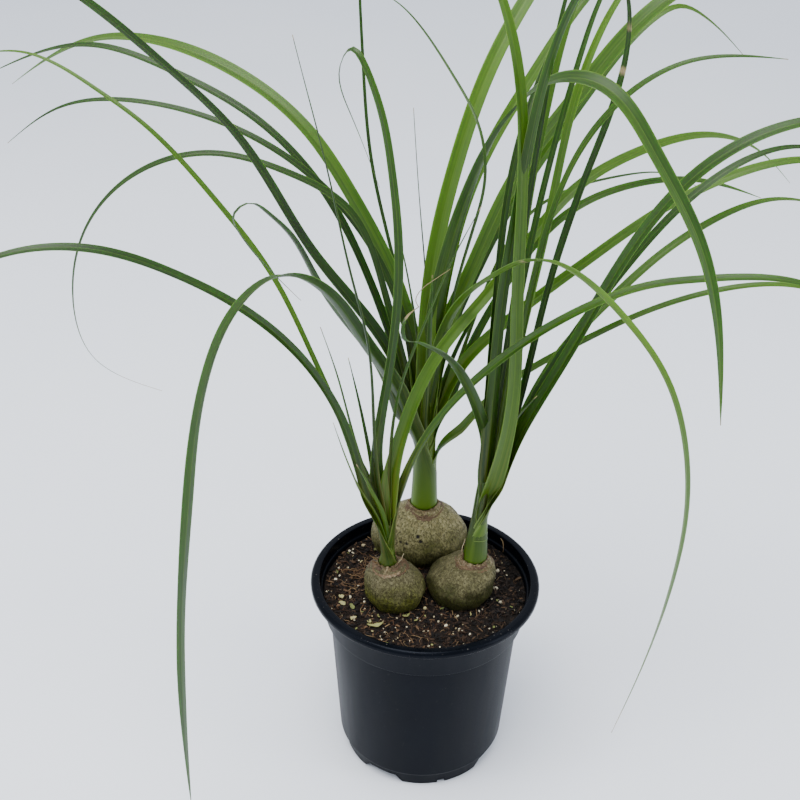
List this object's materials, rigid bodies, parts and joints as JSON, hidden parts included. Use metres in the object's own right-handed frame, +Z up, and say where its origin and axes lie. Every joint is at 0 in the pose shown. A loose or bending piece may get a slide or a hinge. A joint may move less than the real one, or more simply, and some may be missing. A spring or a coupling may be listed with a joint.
{
  "type": "potted ponytail palm",
  "caption": "Young ponytail palms with swollen woody bases and long arching strap leaves, growing together in a round plastic nursery pot.",
  "frame": {"origin": "centre of the pot's flat underside, on the surface it stands on", "axes": "+Z up, +X to the right and +Y to the back as the picture shows the plant; the largest plant is at the back"},
  "size_m": [0.5766, 0.3741, 0.568],
  "materials": {
    "pot_plastic": "satin moulded black plastic",
    "mix": "dark peat and bark mix with perlite",
    "bark": "matt finely fissured corky skin",
    "leaf": "satin green leaf"
  },
  "bodies": {
    "root": {"pot": "pot_plastic", "potting_mix": "mix", "caudex_left": "bark", "caudex_right": "bark", "caudex_back": "bark", "crown_left": "leaf", "crown_right": "leaf", "crown_back": "leaf"}
  },
  "joints": []
}
